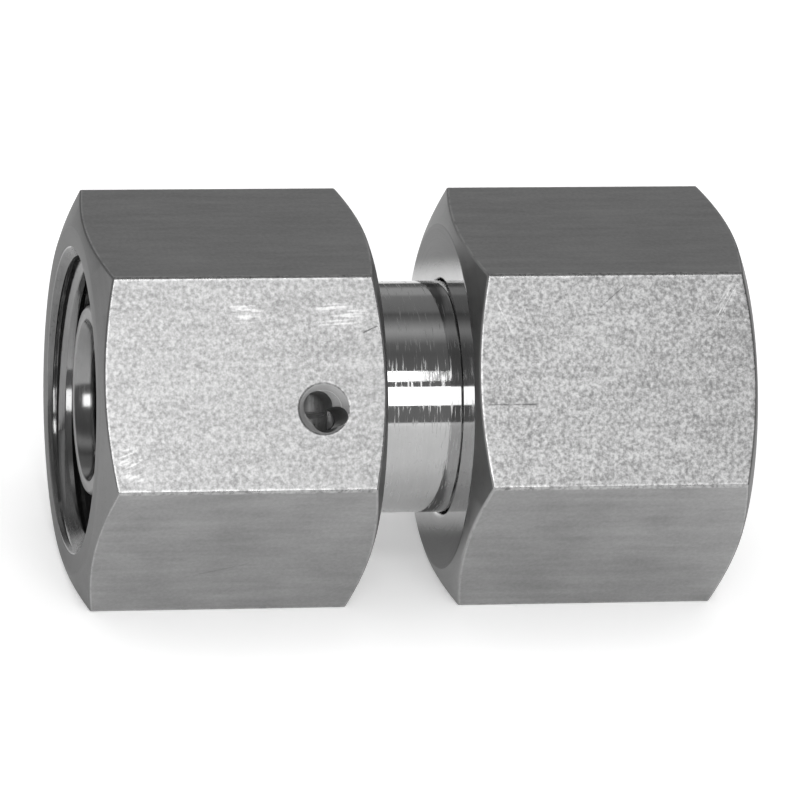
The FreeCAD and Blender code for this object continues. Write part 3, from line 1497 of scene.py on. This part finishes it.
@dataclass
class ConnectorBody:
    """The turned body: sleeve, wire grooves, and a cone, seal groove and pilot at each end.

    Fields:
        sizes: The connector's main sizes.
        steps: Steps in a full turn.
        cone_angle: The sealing cones' full angle in degrees.
        cone_height: How far a cone drops.
        pilot_length: The pilot's length.
        pilot_edge_break: The chamfer at the pilot's edge.
        bore_flare: The bore's flare at its ends, as (depth, over the bore's radius) points.
        groove_depth: The seal groove's depth below the pilot.
        seal_side_gap: The seal ring's gap at each side.
        groove_clearance: The wire groove's clearance round the wire.
        edge_width: The rounding of its edges.
        sharp_angle: Edges sharper than this many degrees are rounded.
    """

    sizes: Dimensions
    steps: int = 224
    cone_angle: float = 24.0
    cone_height: float = 0.7
    pilot_length: float = 1.1
    pilot_edge_break: float = 0.2
    bore_flare: tuple[Point, ...] = ((0.0, 0.35), (0.75, 0.1), (1.3, 0.0))
    groove_depth: float = 0.6
    seal_side_gap: float = 0.2
    groove_clearance: float = 0.06
    edge_width: float = 0.06
    sharp_angle: float = 25.0

    def half_outline(self) -> list[Point]:
        """The (x, radius) outline of the +X half, from the middle of the sleeve to the bore.

        Returns:
            The outline's points.
        """
        sizes = self.sizes
        front = sizes.body_end - self.pilot_length
        back = sizes.seal_place - sizes.seal_radius - self.seal_side_gap
        groove = sizes.pilot_radius - self.groove_depth
        cone_run = self.cone_height / math.tan(math.radians(self.cone_angle / 2))
        wire_groove = sizes.wire_radius + self.groove_clearance
        dip = math.degrees(math.asin((sizes.wire_ring_radius - sizes.sleeve_radius) / wire_groove))
        middle = (sizes.wire_place, sizes.wire_ring_radius)
        return [
            *arc(middle, wire_groove, 180 + dip, 360 - dip, GROOVE_STEPS),
            (back - cone_run, sizes.sleeve_radius),
            (back, sizes.sleeve_radius - self.cone_height),
            (back, groove),
            (front, groove),
            (front, sizes.pilot_radius),
            (sizes.body_end - self.pilot_edge_break, sizes.pilot_radius),
            (sizes.body_end, sizes.pilot_radius - self.pilot_edge_break),
            *((sizes.body_end - depth, sizes.bore_radius + over) for depth, over in self.bore_flare),
        ]

    def eased(self, middle: Vector, angle: float) -> bool:
        """Whether an edge is rounded: every sharp one."""
        return angle > math.radians(self.sharp_angle)

    def build(self) -> bpy.types.Object:
        """Models the body.

        Returns:
            The body, in millimetres.
        """
        right = self.half_outline()
        left = [(-x, radius) for x, radius in reversed(right)]
        body = Bench.turned(right + left, self.steps)
        Bench.ease_edges(body, self.edge_width, segments=2, wanted=self.eased)
        return body

    def face_kind(self, centre: Vector, normal: Vector) -> BodyFace:
        """Tells which kind of face lies at a place.

        Args:
            centre: The face's middle.
            normal: Its normal.

        Returns:
            The kind of face.
        """
        sizes = self.sizes
        in_bore = math.hypot(centre.y, centre.z) < sizes.bore_radius + 0.3
        faces_along_bore = abs(normal.x) >= 0.6
        if in_bore and not faces_along_bore:
            return BodyFace.BORE
        if abs(centre.x) > sizes.seal_place:
            return BodyFace.NOSE
        if abs(abs(centre.x) - sizes.wire_place) < sizes.wire_radius + self.groove_clearance:
            return BodyFace.GROOVE
        return BodyFace.SLEEVE

    def finishes(self) -> dict[Enum, Finish]:
        """The finish of each kind of face.

        Returns:
            The finishes, in the order of the material slots.
        """
        return {
            BodyFace.SLEEVE: TurnedFinish(
                name="sleeve_steel",
                greys=(0.34, 0.42),
                roughness=(0.04, 0.36),
                lines_per_mm=10.0,
                line_depth=0.0002,
                streaks=0.95,
            ),
            BodyFace.NOSE: TurnedFinish(
                name="nose_steel", greys=(0.22, 0.3), roughness=(0.3, 0.45), edge_tint=0.7, metal=0.8
            ),
            BodyFace.BORE: TurnedFinish(
                name="bored_steel",
                greys=(0.19, 0.26),
                roughness=(0.14, 0.3),
                edge_tint=0.9,
                lines_per_mm=9.0,
                line_depth=0.002,
                streaks=0.4,
            ),
            BodyFace.GROOVE: TurnedFinish(
                name="greased_steel",
                greys=(0.15, 0.5),
                roughness=(0.5, 0.75),
                metal=0.6,
                lines_per_mm=5.0,
                line_depth=0.012,
                streaks=0.5,
            ),
        }

    def dress(self, body: bpy.types.Object) -> None:
        """Puts the finishes on the body that build made, and makes it stand for its node.

        Args:
            body: The body, in millimetres.
        """
        Bench.paint(body, self.finishes(), self.face_kind)
        Bench.finish(body, "turned_body")
        Bench.put_on(body, "connector_body", "connector", "body_steel")


@dataclass
class RetainingWire:
    """The wire that holds a nut: one open turn, with its sheared end in the nut's hole.

    Fields:
        sizes: The connector's main sizes.
        nut: The nut whose hole shows the wire's end.
        turn: How far the wire goes round, in degrees.
        steps: Steps along it.
        round_steps: Steps round it.
        shear_lean: How far the sheared end faces outwards, in degrees.
    """

    sizes: Dimensions
    nut: UnionNut
    turn: float = 342.0
    steps: int = 110
    round_steps: int = 28
    shear_lean: float = 24.0

    @property
    def start(self) -> float:
        """The angle about X of the sheared end, from straight above the axis."""
        lean = math.asin(self.nut.hole_offset / self.sizes.wire_ring_radius)
        return -FULL_TURN / HEX_SIDES * self.nut.hole_flat - lean

    def build(self) -> bpy.types.Object:
        """Models the wire at the +X end.

        Returns:
            The wire, in millimetres.
        """
        sizes = self.sizes
        Bench.clear_selection()
        bpy.ops.mesh.primitive_circle_add(
            vertices=self.round_steps,
            radius=sizes.wire_radius,
            location=(sizes.wire_place, 0, sizes.wire_ring_radius),
            rotation=(math.pi / 2, 0, 0),
        )
        wire = bpy.context.object
        Bench.apply_place(wire)
        wire.data.transform(Matrix.Rotation(self.start, 4, "X"))
        Bench.edit(wire)
        angle = math.radians(self.turn)
        bpy.ops.mesh.spin(steps=self.steps, angle=angle, center=(0, 0, 0), axis=(1, 0, 0))
        Bench.weld()
        bpy.ops.mesh.select_all(action="DESELECT")
        bpy.ops.mesh.select_non_manifold()
        bpy.ops.mesh.fill_holes(sides=0)
        Bench.weld()
        Bench.leave_edit()
        self.shear(wire)
        return wire

    def shear(self, wire: bpy.types.Object) -> None:
        """Cuts the wire's first end off at a slant, so that it faces outwards a little.

        Args:
            wire: The wire, active and with square ends.
        """
        turn = Matrix.Rotation(self.start, 3, "X")
        middle = turn @ Vector((self.sizes.wire_place, 0, self.sizes.wire_ring_radius))
        lean = math.radians(self.shear_lean)
        outward = turn @ Vector((0, math.cos(lean), math.sin(lean)))
        reach = self.sizes.wire_radius * 2
        Bench.edit_points(wire, lambda vertex: (vertex.co - middle).length < reach)
        bpy.ops.mesh.bisect(plane_co=middle, plane_no=outward, use_fill=True, clear_outer=True)
        Bench.weld()
        Bench.leave_edit()

    def face_kind(self, centre: Vector, normal: Vector) -> WireFace:
        """Tells whether a face is drawn or sheared.

        Args:
            centre: The face's middle.
            normal: Its normal.

        Returns:
            The kind of face.
        """
        along = Vector((0, -centre.z, centre.y)).normalized()
        faces_along_wire = abs(along.dot(normal)) > 0.6
        return WireFace.SHEARED if faces_along_wire else WireFace.DRAWN

    def finishes(self) -> dict[Enum, Finish]:
        """The finish of each kind of face.

        Returns:
            The finishes, in the order of the material slots.
        """
        ring_radius = self.sizes.wire_ring_radius
        return {
            WireFace.DRAWN: DrawnWireFinish(
                name="drawn_wire",
                greys=(0.55, 0.85),
                roughness=(0.55, 0.7),
                metal=0.4,
                ring_radius=ring_radius,
                nick_depth=0.012,
            ),
            WireFace.SHEARED: DrawnWireFinish(
                name="sheared_wire",
                greys=(0.55, 0.8),
                roughness=(0.4, 0.6),
                metal=0.6,
                ring_radius=ring_radius,
                nick_depth=0.02,
            ),
        }

    def dress(self, wire: bpy.types.Object) -> None:
        """Puts the finishes on the wire that build made, and places a copy at each end.

        Args:
            wire: The wire, in millimetres.
        """
        Bench.paint(wire, self.finishes(), self.face_kind)
        Bench.finish(wire, "wire")
        Bench.put_on_both(wire, "wire_ring", "retaining_wire", "{end}_nut", "wire_steel")


@dataclass
class SealRing:
    """The rubber ring behind a pilot, with the fine seam that its mould leaves.

    Fields:
        sizes: The connector's main sizes.
        seam: How far the seam stands out.
        rubber: The ring's finish.
    """

    sizes: Dimensions
    seam: float = 0.03
    rubber: Finish = RubberFinish(name="seal_rubber", greys=(0.03, 0.09))

    def build(self) -> bpy.types.Object:
        """Models the ring at the +X end.

        Returns:
            The ring, in millimetres.
        """
        sizes = self.sizes
        Bench.clear_selection()
        bpy.ops.mesh.primitive_torus_add(
            major_radius=sizes.seal_ring_radius,
            minor_radius=sizes.seal_radius - self.seam,
            major_segments=128,
            minor_segments=28,
            location=(sizes.seal_place, 0, 0),
            rotation=(0, math.pi / 2, 0),
        )
        ring = bpy.context.object
        Bench.apply_place(ring)
        reach = sizes.seal_ring_radius + sizes.seal_radius - self.seam
        Bench.edit_points(ring, lambda vertex: math.hypot(vertex.co.y, vertex.co.z) > reach - WELD)
        grown = (reach + self.seam) / reach
        bpy.ops.transform.resize(value=(1, grown, grown), center_override=(0, 0, 0))
        Bench.leave_edit()
        return ring

    def dress(self, ring: bpy.types.Object) -> None:
        """Puts the finish on the ring that build made, and places a copy at each end.

        Args:
            ring: The ring, in millimetres.
        """
        ring.data.materials.append(self.rubber.material())
        Bench.finish(ring, "ring", smooth_angle=50.0)
        Bench.put_on_both(ring, "seal", "seal_ring", "connector", "seal_rubber")


def toward(azimuth: float, elevation: float) -> Vector:
    """The direction to a place round the object.

    Args:
        azimuth: 0 in front, at -Y, and growing towards +X, in degrees.
        elevation: Above the horizon, in degrees.

    Returns:
        The unit direction.
    """
    turn, rise = math.radians(azimuth), math.radians(elevation)
    return Vector((math.sin(turn) * math.cos(rise), -math.cos(turn) * math.cos(rise), math.sin(rise)))


def add_to_scene(name: str, data: bpy.types.ID) -> bpy.types.Object:
    """Adds a camera or a lamp to the scene.

    Args:
        name: The object's name.
        data: Its camera or light data.

    Returns:
        The object.
    """
    added = bpy.data.objects.new(name, data)
    bpy.context.collection.objects.link(added)
    return added


@dataclass(frozen=True)
class PhotoCamera:
    """The photograph's camera.

    Fields:
        azimuth: Where it stands, in degrees.
        elevation: How high it stands, in degrees.
        roll: How far it leans, in degrees.
        distance: Its distance from the origin, in millimetres.
        focal: Its focal length in pixels of the photograph.
        across: Its shift to its own right, in millimetres.
        up: Its shift upwards, in millimetres.
        photo_width: The photograph's width in pixels.
        sensor: Its sensor's width in millimetres.
        clip: The nearest and the farthest that it sees, in metres.
    """

    azimuth: float = -12.916
    elevation: float = 25.258
    roll: float = 4.929
    distance: float = 480.7
    focal: float = 7960.8
    across: float = 0.235
    up: float = -0.203
    photo_width: float = 800.0
    sensor: float = 36.0
    clip: Point = (0.05, 20.0)

    def build(self) -> None:
        """Makes the camera and sets it as the scene's."""
        back = toward(self.azimuth, self.elevation)
        turn = math.radians(self.azimuth)
        level = Vector((math.cos(turn), math.sin(turn), 0))
        lean = Matrix.Rotation(math.radians(self.roll), 3, back)
        right = lean @ level
        above = lean @ back.cross(level)
        data = bpy.data.cameras.new("camera")
        data.sensor_width = self.sensor
        data.lens = self.focal / self.photo_width * self.sensor
        data.clip_start, data.clip_end = self.clip
        camera = add_to_scene("camera", data)
        place = (back * self.distance + right * self.across + above * self.up) * MM
        facing = Matrix((right, above, back)).transposed().to_4x4()
        camera.matrix_world = Matrix.Translation(place) @ facing
        bpy.context.scene.camera = camera


@dataclass(frozen=True)
class StripLamp:
    """A long softbox that hangs parallel to the bore.

    Fields:
        name: Its name.
        around: Its angle about the bore in degrees, from 0 level in front over 90 overhead.
        tall: How much of that angle it fills, in degrees.
        left: Its left end along X, in metres.
        right: Its right end along X, in metres.
        radiance: Its brightness, where 1 shows as white.
        distance: Its distance from the bore in metres.
    """

    name: str
    around: float
    tall: float
    left: float
    right: float
    radiance: float
    distance: float = 0.8

    def build(self) -> None:
        """Hangs the lamp."""
        data = bpy.data.lights.new(self.name, "AREA")
        data.shape = "RECTANGLE"
        data.size = self.right - self.left
        data.size_y = 2 * self.distance * math.tan(math.radians(self.tall / 2))
        data.energy = self.radiance * math.pi * data.size * data.size_y
        lamp = add_to_scene(self.name, data)
        angle = math.radians(self.around)
        place = Vector((0, -math.cos(angle), math.sin(angle))) * self.distance
        lamp.location = place + Vector(((self.left + self.right) / 2, 0, 0))
        lamp.rotation_euler = (math.pi / 2 - angle, 0, 0)
        lamp.visible_camera = False


@dataclass(frozen=True)
class Studio:
    """The floor, the room and the lamps.

    Fields:
        floor_level: The floor's height in metres.
        floor_finish: The floor's finish.
        floor_width: The floor's width in metres.
        sky_light: The overhead light that the floor gets.
        sky_lean: How far the overhead light leans to the back, in degrees.
        sky_width: How wide it is, in degrees.
        room_greys: The room's greys, from 0.25 level in front over 0.5 overhead to 0.75 level behind.
        strips: The strip lamps.
    """

    floor_level: float
    floor_finish: Finish = FloorFinish(name="pale_floor", grey=0.92, glow=0.3)
    floor_width: float = 40.0
    sky_light: float = 1.3
    sky_lean: float = -5.0
    sky_width: float = 80.0
    room_greys: tuple[Point, ...] = (
        (0.25, 0.3), (0.3, 0.3), (0.4, 0.24), (0.44, 0.2), (0.47, 0.25), (0.5, 0.6), (0.513, 0.67),
        (0.53, 0.5), (0.55, 0.28), (0.57, 0.18), (0.585, 0.3), (0.65, 0.36), (0.665, 0.58),
        (0.7, 0.56), (0.72, 0.2), (0.75, 0.17),
    )
    strips: tuple[StripLamp, ...] = (
        StripLamp(name="low_strip", around=26.0, tall=18.0, left=-0.45, right=0.216, radiance=4.8),
        StripLamp(name="high_strip", around=45.7, tall=10.0, left=-0.1, right=0.165, radiance=8.0),
    )

    def floor(self) -> None:
        """Lays the pale floor."""
        Bench.clear_selection()
        bpy.ops.mesh.primitive_plane_add(size=self.floor_width, location=(0, 0, self.floor_level))
        floor = bpy.context.object
        floor.name = "floor"
        floor.data.materials.append(self.floor_finish.material())

    def room(self) -> None:
        """Sets the room's light: dim in front, a grey ceiling and a grey wall behind."""
        world = bpy.data.worlds.new("room")
        bpy.context.scene.world = world
        world.use_nodes = True
        shader = Shader(world.node_tree)
        direction = shader.node("ShaderNodeTexCoord").outputs["Generated"]
        _, y, z = shader.split(direction)
        around = y.math("ARCTAN2", z) / math.pi
        ramp = shader.node("ShaderNodeValToRGB", {"stops": self.room_greys}, {0: around * 0.5 + 0.5})
        glow = shader.node("ShaderNodeBackground", values={"Color": ramp.outputs[0], "Strength": 1.0})
        shader.node("ShaderNodeOutputWorld", values={"Surface": glow.outputs[0]})

    def overhead(self) -> None:
        """Lights the floor from above. Bare steel mirrors the room, so it doesn't show this lamp."""
        data = bpy.data.lights.new("overhead", "SUN")
        data.energy = self.sky_light
        data.angle = math.radians(self.sky_width)
        lamp = add_to_scene("overhead", data)
        lamp.rotation_euler = (-math.radians(self.sky_lean), 0, 0)
        lamp.visible_glossy = False

    def build(self) -> None:
        """Makes the studio."""
        self.floor()
        self.room()
        self.overhead()
        for strip in self.strips:
            strip.build()
        bpy.context.scene.view_settings.view_transform = "Standard"


def main() -> None:
    """Builds the camera, the studio and every piece in turn."""
    sizes = Dimensions.from_frame()
    PhotoCamera().build()
    Studio(floor_level=cad_box[0].z).build()
    nut = UnionNut(sizes)
    for assembly in (nut, ConnectorBody(sizes), RetainingWire(sizes, nut), SealRing(sizes)):
        assembly.dress(assembly.build())


if __name__ == "__main__":
    logging.basicConfig(level=logging.INFO, format="%(name)s: %(message)s")
    main()
